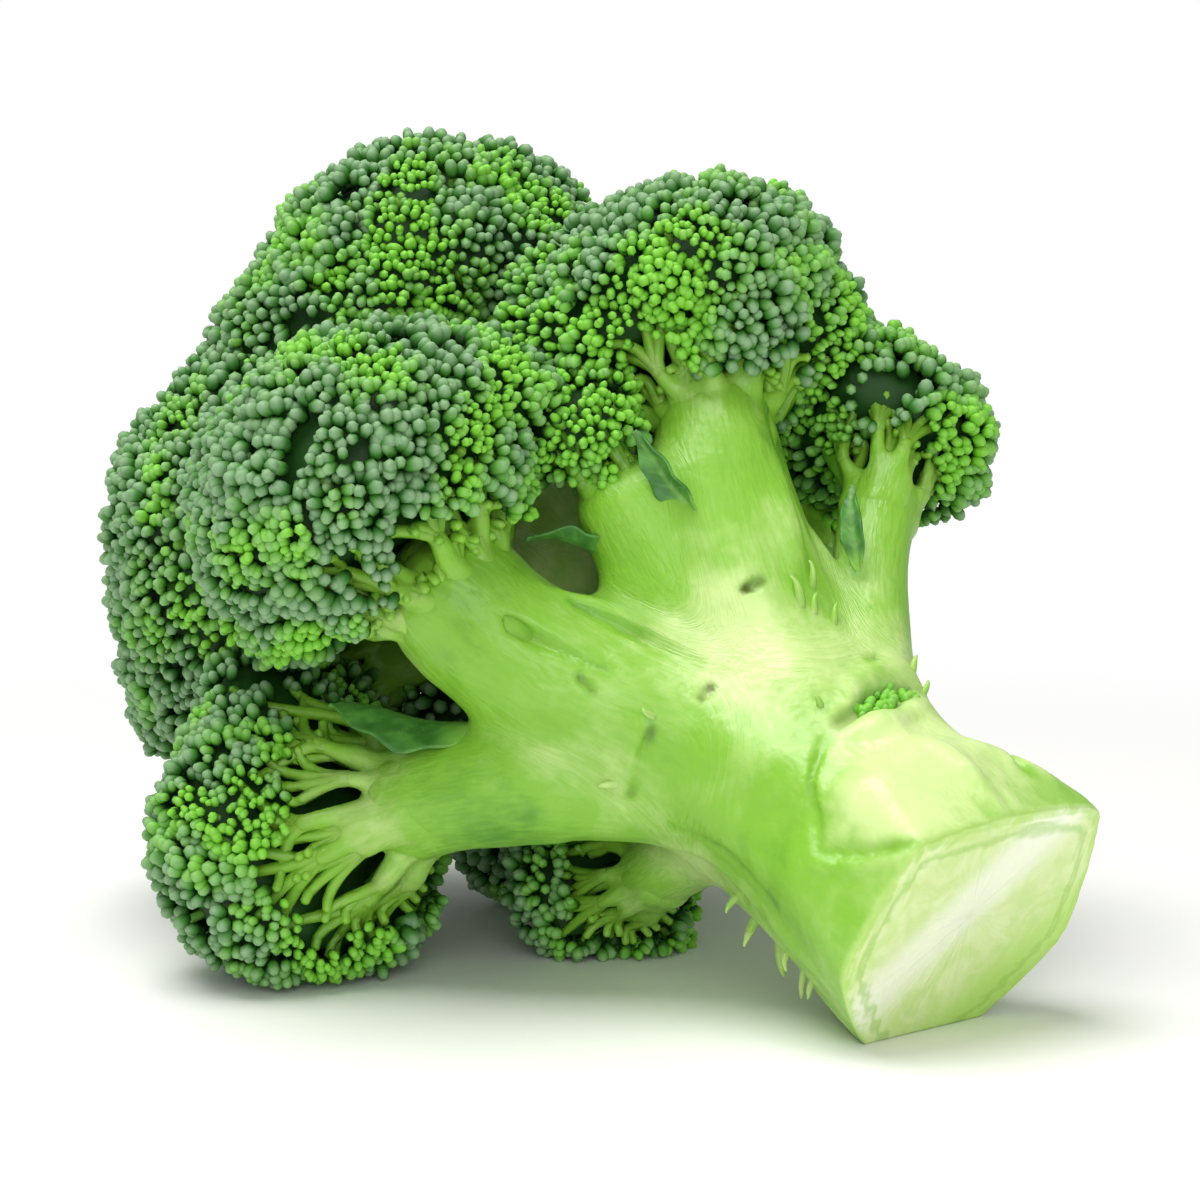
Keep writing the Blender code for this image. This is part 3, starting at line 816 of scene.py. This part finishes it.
def bud_layer(head, others, spacing, seed):
    """A layer of a head's buds: places on the bunched surface, and the way each faces, less the hidden ones."""
    polar, turn = spread(int(head.area / (0.866 * spacing**2)), head.rim, head.profile, 0.28, seed)
    small = 0.02
    place, drop = head.surface(polar, turn)
    down, _ = head.surface(polar + small, turn)
    over, _ = head.surface(polar, turn + small / np.maximum(np.sin(polar), 0.05))
    upward = np.cross(down - place, over - place)
    upward /= np.linalg.norm(upward, axis=1, keepdims=True)
    outward = ways_out(polar, turn, head.axes)
    upward *= np.sign((upward * outward).sum(axis=1, keepdims=True))
    apart = np.linalg.norm(outward[:, None] - head.knots[None], axis=2)
    from_knot = (outward - head.knots[apart.argmin(axis=1)]) * head.size / 3.0
    upward = upward * 0.5 + outward * 0.6 + from_knot * 0.45
    upward += np.random.default_rng(head.seed + 4).normal(0, 0.16, upward.shape)
    upward /= np.linalg.norm(upward, axis=1, keepdims=True)
    ragged = head.rim * (0.93 + 0.09 * np.sin(turn * 3 + head.seed) + 0.05 * np.sin(turn * 8 + head.seed * 2))
    keep = polar < ragged
    for other in others:
        keep &= other.depth(place, other.reach) < 5.0
    keep &= height_over_table(place) > 0.9
    return place[keep], upward[keep], polar[keep]


def youth_of(head, place, polar):
    """How young buds are, 0 to 1: in soft patches, more towards the stems."""
    patch = 0.5 + 0.55 * ripple(place, 26, head.seed + 7) + 0.25 * ripple(place, 8, head.seed + 11)
    young = 1.9 * patch**1.6 * (0.35 + 0.65 * (polar / head.rim) ** 1.5) - 0.30 + YOUTH.get(head.name, 0)
    return np.clip(young + np.random.default_rng(head.seed + 12).normal(0, 0.06, len(place)), 0, 1)


# Heads whose buds are younger than the rest, and by how much.
YOUTH = {"low_right": 0.35, "upper": 0.12, "second": 0.45, "low_middle": 0.1, "inner_right": 0.3}


PATTERN, PATTERN_FACES, PATTERN_TIP = bud_pattern()


def draw_buds(place, upward, width, seed):
    """Copies the bud to every place: across is any direction square to upward, each bud with a random spin."""
    dice = np.random.default_rng(seed)
    spin = dice.normal(size=upward.shape)
    across = np.cross(upward, spin)
    across /= np.linalg.norm(across, axis=1, keepdims=True)
    side = np.cross(upward, across)
    long = width * dice.uniform(0.95, 1.25, len(width))
    points = (
        place[:, None]
        + across[:, None] * (PATTERN[None, :, 0:1] * width[:, None, None])
        + side[:, None] * (PATTERN[None, :, 1:2] * width[:, None, None])
        + upward[:, None] * (PATTERN[None, :, 2:3] * long[:, None, None])
    )
    faces = PATTERN_FACES[None] + (np.arange(len(place)) * len(PATTERN))[:, None, None]
    return points.reshape(-1, 3), faces.reshape(-1, 3)


def core_of(head):
    """The body under a head's buds, which takes the buds' near-black foot colour as painted shade between them: the
    head's reach less a little, and far less on its open back.
    """
    polar = np.linspace(0, np.pi, 41)
    turn = np.linspace(-np.pi, np.pi, 72, endpoint=False)
    grid_polar, grid_turn = (grid.ravel() for grid in np.meshgrid(polar[1:-1], turn, indexing="ij"))
    grid_polar = np.concatenate([grid_polar, [0.0, np.pi]])
    grid_turn = np.concatenate([grid_turn, [0.0, 0.0]])
    far = look_up(head.reach, grid_polar, grid_turn) - CORE_SINK
    open_back = np.clip((grid_polar - head.rim * 0.80) / 0.45, 0, 1)
    far = far * (1 - 0.42 * open_back**0.8)
    points = head.middle + ways_out(grid_polar, grid_turn, head.axes) * far[:, None]
    rows, columns = len(polar) - 2, len(turn)
    here = np.arange(columns)
    there = (here + 1) % columns
    faces = []
    for row in range(rows - 1):
        a, b = row * columns + here, row * columns + there
        c, d = a + columns, b + columns
        faces += [np.stack([a, c, d], axis=1), np.stack([a, d, b], axis=1)]
    front, back = len(points) - 2, len(points) - 1
    faces.append(np.stack([np.full(columns, front), here, there], axis=1))
    last = (rows - 1) * columns
    faces.append(np.stack([np.full(columns, back), last + there, last + here], axis=1))
    points[:, :] += np.maximum(0.8 - height_over_table(points), 0)[:, None] * LYING[2]
    return points, np.vstack(faces)


def bud_skin():
    """The buds: painted shade darkening each bud towards its foot, green at the sides, and a grey bloom of wax on the
    tips of the older ones.
    """
    made = bpy.data.materials.new("bud_skin")
    made.use_nodes = True
    shader = made.node_tree.nodes["Principled BSDF"]
    tip = attribute(made, "tip").outputs["Fac"]
    youth = attribute(made, "youth").outputs["Fac"]
    tint = attribute(made, "tint").outputs["Fac"]
    place = node(made, "ShaderNodeTexCoord").outputs["Object"]
    bloom = node(made, "ShaderNodeTexNoise", Vector=place, Scale=700.0, Detail=3.0)
    side = mix_colours(made, youth, (0.040, 0.190, 0.022, 1), (0.185, 0.56, 0.022, 1))
    side = mix_colours(made, sum_up(made, "MULTIPLY", tint, 0.30), side, (0.10, 0.33, 0.045, 1))
    wax = mix_colours(made, youth, (0.275, 0.435, 0.245, 1), (0.25, 0.62, 0.075, 1))
    waxed = ramp(made, tip, 0.42, 0.98)
    waxed = sum_up(made, "MULTIPLY", waxed, sum_up(made, "MULTIPLY_ADD", bloom.outputs["Fac"], 0.9, 0.35))
    colour = mix_colours(made, waxed, side, wax)
    # Painted shade: each bud darkens to near-black green towards its foot, standing in for the shade between the buds.
    colour = mix_colours(made, ramp(made, tip, 0.05, 0.55), (0.012, 0.065, 0.007, 1), colour)
    made.node_tree.links.new(colour, shader.inputs["Base Color"])
    shader.inputs["Roughness"].default_value = 0.52
    shader.inputs["Specular IOR Level"].default_value = 0.3
    bump = node(made, "ShaderNodeBump", Height=bloom.outputs["Fac"], Strength=0.25, Distance=0.0003)
    made.node_tree.links.new(bump.outputs["Normal"], shader.inputs["Normal"])
    return made


def disc_map(pattern_turn, pattern_far, count):
    """Map places for each point of count copies: every copy is laid out as a disc in a square tile of its own.

    The tiles fill a grid below MAP_SPLIT of the map's height; a single copy gets the square above it.
    """
    disc = np.stack([np.cos(pattern_turn), np.sin(pattern_turn)], axis=1) * pattern_far[:, None] * 0.46 + 0.5
    if count == 1:
        return disc * (1 - MAP_SPLIT) + (0, MAP_SPLIT)
    wide = int(np.ceil(np.sqrt(count / MAP_SPLIT)))
    tile = np.arange(count)
    corner = np.stack([tile % wide, tile // wide], axis=1)
    return ((corner[:, None] + disc[None]) / wide).reshape(-1, 2)


MAP_SPLIT = 0.8
bud_turn = np.arctan2(PATTERN[:, 1], PATTERN[:, 0])
bud_far = np.concatenate([np.repeat([0.8, 0.6, 0.4, 0.2], BUD_SIDES), [1.0, 0.0]])
bud_finish = bud_skin()
for head in heads:
    others = [other for other in heads if other is not head]
    place, upward, polar = bud_layer(head, others, BUD_SPACING, head.seed + 3)
    young = youth_of(head, place, polar)
    between, tilt, round_off = bud_layer(head, others, SMALL_SPACING, head.seed + 13)
    tender = youth_of(head, between, round_off)
    fits = tender > 0.38
    place, upward = np.vstack([place, between[fits]]), np.vstack([upward, tilt[fits]])
    young = np.concatenate([young, tender[fits] + 0.15])
    dice = np.random.default_rng(head.seed + 5)
    older = ripple(place, 22, head.seed + 6)
    width = 1.16 * (1 + 0.12 * older - 0.26 * young) * dice.uniform(0.82, 1.14, len(place))
    place = place + upward * dice.normal(0, 0.22, len(place))[:, None]
    points, faces = draw_buds(place, upward, width, head.seed + 8)
    core_points, core_faces = core_of(head)
    each = len(PATTERN)
    piece = new_piece(
        "buds_" + head.name,
        np.vstack([points, core_points]),
        np.vstack([faces, core_faces + len(points)]),
        bud_finish,
    )
    # The core reads as tip 0, so it takes the buds' darkest foot colour: painted shade seen between the buds.
    flat = np.zeros(len(core_points))
    give_numbers(
        piece,
        tip=np.concatenate([np.tile(PATTERN_TIP, len(place)), flat]),
        youth=np.concatenate([np.repeat(young, each), flat]),
        tint=np.concatenate([np.repeat(dice.uniform(0, 1, len(place)), each), flat]),
    )
    core_off = (core_points - head.middle) @ head.axes.T
    core_polar = np.arctan2(np.hypot(core_off[:, 0], core_off[:, 1]), core_off[:, 2])
    laid_out = np.vstack(
        [
            disc_map(bud_turn, bud_far, len(place)),
            disc_map(np.arctan2(core_off[:, 1], core_off[:, 0]), core_polar / np.pi, 1),
        ]
    )
    corners = np.empty(len(piece.data.loops), np.int32)
    piece.data.loops.foreach_get("vertex_index", corners)
    layer = piece.data.uv_layers.new(name="OFBake")
    layer.uv.foreach_set("vector", laid_out[corners].astype(np.float32).ravel())
    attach(piece, "root")
    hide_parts("floret_" + head.name)

# ---------------------------------------------------------------------------------------------------------
# The fans. Under each head its branch divides into thin stems that spread to the bunches of buds. They are
# drawn from a distance field too, so they part from the branch with webs between them.

FAN_VOXEL = 0.72
PLAIN_FAN_VOXEL = 1.0
TWIG_SIDES = 6


def swept(line, radii, sides):
    """A tube along a line: rings square to it, set out from one fixed direction, closed by a point at each end."""
    way = np.gradient(line, axis=0)
    way /= np.linalg.norm(way, axis=1, keepdims=True)
    steady = np.array([0.31, 0.57, 0.76])
    across = np.cross(way, steady)
    across /= np.linalg.norm(across, axis=1, keepdims=True)
    up = np.cross(way, across)
    turn = np.arange(sides) * 2 * np.pi / sides
    rings = (
        line[:, None]
        + across[:, None] * np.cos(turn)[None, :, None] * radii[:, None, None]
        + up[:, None] * np.sin(turn)[None, :, None] * radii[:, None, None]
    )
    ends = np.stack([line[0] - way[0] * radii[0] * 0.6, line[-1] + way[-1] * radii[-1] * 0.6])
    points = np.vstack([rings.reshape(-1, 3), ends])
    here = np.arange(sides)
    there = (here + 1) % sides
    rows = len(line)
    faces = []
    for row in range(rows - 1):
        a, b = row * sides + here, row * sides + there
        faces += [np.stack([a, b, b + sides], axis=1), np.stack([a, b + sides, a + sides], axis=1)]
    faces.append(np.stack([there, here, np.full(sides, rows * sides)], axis=1))
    last = (rows - 1) * sides
    faces.append(np.stack([last + here, last + there, np.full(sides, rows * sides + 1)], axis=1))
    return points, np.vstack(faces)


def fan_lines(head):
    """A fan's stems as (line, radii): the thick ones that leave the branch together, and the twigs off them."""
    joint, facing, top = around(*head.floret[1]), head.axes[2], head.floret[5]
    dice = np.random.default_rng(head.seed + 9)
    deep = np.linalg.norm(head.middle - joint)
    trunk = branch_line(head.floret, 15)[11:]
    collar = np.array([top - 1.8, top - 0.8, top - 0.2, top - 0.4, top * 0.7])
    stems = [(np.vstack([trunk, joint + facing * deep * 0.2]), collar)]
    twigs = []
    count = max(7, int(head.size / 2.5))
    rings = ((head.rim - 0.05, count), (head.rim - 0.5, count - 2), (head.rim - 1.1, max(4, count - 5)))
    for ring, (polar, many) in enumerate(rings):
        for stem in range(many):
            turn = 2 * np.pi * (stem + 0.5 * ring + dice.uniform(-0.25, 0.25)) / many
            aim = polar + dice.uniform(-0.1, 0.1)
            way = ways_out(np.array([aim]), np.array([turn]), head.axes)[0]
            sideways = way - facing * (way @ facing)
            sideways /= np.linalg.norm(sideways)
            reach = look_up(head.reach, np.array([aim]), np.array([(turn + np.pi) % (2 * np.pi) - np.pi]))[0]
            end = head.middle + way * (reach - 5.0)
            start = joint - facing * 3 + sideways * top * (0.72 - 0.12 * ring)
            along = end - start
            fork = start + along * dice.uniform(0.42, 0.6) + facing * head.size * 0.05
            thick = np.linspace(2.5, 1.5, 7) * (0.55 + head.size / 80) * dice.uniform(0.85, 1.15)
            stems.append((bend_line((start, start + facing * deep * 0.3, fork - along * 0.2, fork), 7), thick))
            for twist in (-0.30, -0.1, 0.12, 0.3):
                bud_way = ways_out(
                    np.array([aim + dice.uniform(-0.2, 0.16)]), np.array([turn + twist * (1 + 0.6 * ring)]), head.axes
                )[0]
                off = head.axes @ bud_way
                bud_reach = look_up(head.reach, np.arccos(off[2:]), np.arctan2(off[1:2], off[:1]))[0]
                bud_end = head.middle + bud_way * (min(reach, bud_reach) - 3.6)
                line = bend_line((fork - along * 0.06, fork + along * 0.14, bud_end - bud_way * 5, bud_end), 7)
                twigs.append((line, np.linspace(1.3, 0.75, 7) * (0.7 + head.size / 90)))
    return stems, twigs


for head in heads:
    stems, twigs = fan_lines(head)
    corners = np.vstack([line for line, _ in stems])
    low, high = corners.min(axis=0) - 16, corners.max(axis=0) + 16
    in_view = head.name in ("front", "upper", "low_left", "low_middle", "low_right", "second")
    voxel = FAN_VOXEL if in_view else PLAIN_FAN_VOXEL
    fan = Field(low, tuple(((high - low) / voxel).astype(int) + 1), voxel)
    for line, radii in stems:
        fan.add_tube(line, radii, 1.5)
    skin_points, quads = fan.skin()
    points, faces = [skin_points], [np.vstack([quads[:, [0, 1, 2]], quads[:, [0, 2, 3]]])]
    count = len(skin_points)
    for line, radii in twigs:
        tube_points, tube_faces = swept(line, radii, TWIG_SIDES)
        points.append(tube_points)
        faces.append(tube_faces + count)
        count += len(tube_points)
    points, faces = np.vstack(points), np.vstack(faces)
    points += np.maximum(0.8 - height_over_table(points), 0)[:, None] * LYING[2]
    piece = new_piece("fan_" + head.name, points, faces, flesh)
    off = points - around(*head.floret[1])
    far_out = np.linalg.norm(off, axis=1) / head.size
    spin = off / np.maximum(np.linalg.norm(off, axis=1, keepdims=True), 1e-6)
    give_numbers(
        piece,
        grain=np.stack([spin @ head.axes[0], spin @ head.axes[1], far_out * 0.5], axis=1),
        cream=0.05 - 0.55 * far_out,
        scar=np.zeros(len(points)),
        cut=np.zeros(len(points)),
        inside=np.full(len(points), 9.0),
        streak=np.zeros(len(points)),
    )
    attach(piece, "root")

# ---------------------------------------------------------------------------------------------------------
# The remains of trimmed leaves on the stalk: a row of tiny side buds in the pocket above a leaf's scar, and
# torn threads of skin along the edges where leaf stems were cut or snapped off.

SIDE_BUDS = 46
pocket_line = marks[0][0]
dice = np.random.default_rng(71)
share = dice.uniform(0.12, 0.97, SIDE_BUDS) * (len(pocket_line) - 1)
row = np.stack([np.interp(share, np.arange(len(pocket_line)), pocket_line[:, axis]) for axis in range(3)], axis=1)
level_out = row * (1, 1, 0) / np.linalg.norm(row[:, :2], axis=1)[:, None]
row += np.stack([0 * share, 0 * share, dice.uniform(-1.7, 1.9, SIDE_BUDS)], axis=1) - level_out * 0.9
leaning = level_out + dice.normal(0, 0.3, row.shape)
leaning /= np.linalg.norm(leaning, axis=1, keepdims=True)
points, faces = draw_buds(row, leaning, dice.uniform(0.55, 0.95, SIDE_BUDS), 72)
side_buds = new_piece("side_buds", points, faces, bud_finish)
give_numbers(
    side_buds,
    tip=np.tile(PATTERN_TIP * 0.5 + 0.5, SIDE_BUDS),
    youth=np.repeat(dice.uniform(0.75, 1.2, SIDE_BUDS), len(PATTERN)),
    tint=np.repeat(dice.uniform(0, 1, SIDE_BUDS), len(PATTERN)),
)
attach(side_buds, "root")

# Each thread: where it leaves the skin (azimuth, out, up), where it points (azimuth, lean up), its length
# and its radius there.
THREADS = (
    ((30, 26, 30), (20, -0.2), 4.5, 1.1),
    ((26, 27, 25), (8, -0.8), 5.5, 1.2),
    ((32, 27, 22), (30, -0.9), 3.5, 0.8),
    ((27, 27, 18), (5, -0.5), 4.5, 0.8),
    ((38, 27, 28), (50, -0.6), 3.2, 0.8),
    ((44, 27, 32), (60, -0.3), 3.5, 0.8),
    ((34, 28, 14), (24, -0.7), 3.0, 0.7),
    ((41, 28, 19), (48, -1.0), 3.0, 0.7),
    ((171, 29, 48), (178, 0.8), 4.5, 1.1),
    ((174, 29, 46), (190, 0.9), 3.8, 0.9),
    ((178, 29, 50), (196, 0.7), 3.6, 0.8),
    ((180, 29, 44), (200, 1.0), 3.4, 0.8),
    ((150, 23, 32), (150, 0.6), 1.8, 0.7),
    ((202, 23, 33), (215, 0.9), 3.4, 0.9),
    ((205, 23, 30), (220, 0.3), 2.6, 0.8),
    ((108, 30, 48), (118, 0.5), 2.0, 0.8),
    ((84, 30, 49), (80, 0.6), 2.2, 0.8),
)
points, faces, count = [], [], 0
for number, (foot, (azimuth, lean), long, thick) in enumerate(THREADS):
    start = body.onto_skin(*foot)
    level = around(foot[0], 1, 0)
    onward = around(azimuth, 1, lean)
    onward /= np.linalg.norm(onward)
    curl = np.cross(onward, level) * (1 if number % 2 else -1)
    line = bend_line(
        (start - level * 1.2, start + level * 0.6 + onward * long * 0.3, start + onward * long * 0.8, start + onward * long + curl * long * 0.35),
        9,
    )
    tube_points, tube_faces = swept(line, thick * np.linspace(1, 0.12, 9) ** 0.8, TWIG_SIDES)
    points.append(tube_points)
    faces.append(tube_faces + count)
    count += len(tube_points)
points, faces = np.vstack(points), np.vstack(faces)
threads = new_piece("torn_threads", points, faces, flesh)
give_numbers(
    threads,
    grain=points / 30,
    cream=np.full(len(points), 0.15),
    scar=np.zeros(len(points)),
    cut=np.zeros(len(points)),
    inside=np.full(len(points), 9.0),
    streak=np.zeros(len(points)),
)
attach(threads, "root")

# ---------------------------------------------------------------------------------------------------------
# The small leaves left between the branches. Each is a thin blade, channelled along a pale midrib, with a
# wavy edge and a curled tip, and grows from the side of its branch.

LEAF_ROWS = 57
LEAF_COLUMNS = 25
LEAF_THICK = 0.45
VEIN_APART = 2.6


def leaf_skin():
    """The leaf: deep green and a little waxy, with pale veins that stand proud."""
    made = bpy.data.materials.new("leaf_skin")
    made.use_nodes = True
    shader = made.node_tree.nodes["Principled BSDF"]
    vein = attribute(made, "vein").outputs["Fac"]
    foot = attribute(made, "foot").outputs["Fac"]
    place = node(made, "ShaderNodeTexCoord").outputs["Object"]
    clouds = node(made, "ShaderNodeTexNoise", Vector=place, Scale=260.0, Detail=4.0)
    blade = mix_colours(made, ramp(made, clouds.outputs["Fac"], 0.35, 0.7), (0.040, 0.170, 0.028, 1), (0.105, 0.330, 0.050, 1))
    blade = mix_colours(made, foot, blade, (0.30, 0.60, 0.08, 1))
    colour = mix_colours(made, sum_up(made, "MULTIPLY", vein, 0.45), blade, (0.30, 0.56, 0.14, 1))
    made.node_tree.links.new(colour, shader.inputs["Base Color"])
    made.node_tree.links.new(sum_up(made, "MULTIPLY_ADD", clouds.outputs["Fac"], 0.2, 0.35), shader.inputs["Roughness"])
    bump = node(made, "ShaderNodeBump", Height=clouds.outputs["Fac"], Strength=0.3, Distance=0.0005)
    made.node_tree.links.new(bump.outputs["Normal"], shader.inputs["Normal"])
    return made


def leaf_blade(middle, along, across, outward, long, wide, curl):
    """A blade on a grid of share along (0 to 1) and side (-1 to 1): its points, and its veins and foot.

    Its half width is a sine of the share along, drawn towards the tip. It is raised by its arch along, its
    channel across, a ripple at the edge and the midrib, and its tip curls over.
    """
    share, side = np.meshgrid(np.linspace(0, 1, LEAF_ROWS), np.linspace(-1, 1, LEAF_COLUMNS), indexing="ij")
    share, side = share.ravel(), side.ravel()
    half = wide / 2 * np.maximum(np.sin(np.pi * share**0.85) ** 0.75, 0.10)
    midrib = np.exp(-((side * half / 0.55) ** 2)) * (1 - 0.6 * share)
    step = share * long - np.abs(side) * half * 0.9
    veins = np.exp(-(((step / VEIN_APART) % 1 - 0.5) / 0.10) ** 2) * (1 - np.abs(side)) * (share < 0.93)
    rise = long * 0.10 * np.sin(np.pi * share) + np.abs(side) ** 1.5 * half * 0.45
    rise += 0.5 * np.sin(share * 19 + np.sign(side) * 0.8) * np.abs(side) ** 2 + 0.35 * midrib + 0.12 * veins
    rise += curl * long * np.clip(share - 0.6, 0, 1) ** 2
    points = (
        middle
        + along * ((share - 0.5) * long)[:, None]
        + across * (side * half)[:, None]
        + outward * rise[:, None]
    )
    here = (np.arange(LEAF_ROWS - 1)[:, None] * LEAF_COLUMNS + np.arange(LEAF_COLUMNS - 1)[None]).ravel()
    faces = np.stack([here, here + LEAF_COLUMNS, here + LEAF_COLUMNS + 1, here + 1], axis=1)
    return points, faces, np.clip(midrib + 0.6 * veins, 0, 1), np.clip(1 - share * 3.5, 0, 1)


leaf_finish = leaf_skin()
# Each leaf: how much longer and wider than its plain solid, and how its tip curls, outwards above zero.
LEAVES = {"leaf_low": (1.25, 1.3, 0.9), "leaf_second": (1.3, 1.2, -0.6), "leaf_upper": (1.35, 0.75, 0.5), "leaf_right": (1.1, 0.6, -0.8)}
for name, (longer, wider, curl) in LEAVES.items():
    solid = stand_up(np.array([vertex.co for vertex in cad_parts[name].data.vertices]))
    middle = (solid.max(axis=0) + solid.min(axis=0)) / 2
    _, _, (along, across, _) = np.linalg.svd(solid - solid.mean(axis=0), full_matrices=False)
    along = along * np.sign(along[2])
    outward = np.cross(along, across)
    outward *= np.sign(outward @ (middle * (1, 1, 0)))
    across = np.cross(outward, along)
    long, wide = np.ptp(solid @ along) * longer, np.ptp(solid @ across) * wider
    points, faces, veins, foot = leaf_blade(middle, along, across, outward, long, wide, curl)
    leaf = new_piece(name + "_blade", points, faces, leaf_finish)
    give_numbers(leaf, vein=veins, foot=foot)
    thickness = leaf.modifiers.new("thickness", "SOLIDIFY")
    thickness.thickness = LEAF_THICK * MM
    thickness.offset = 0
    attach(leaf, "root")
    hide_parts(name)
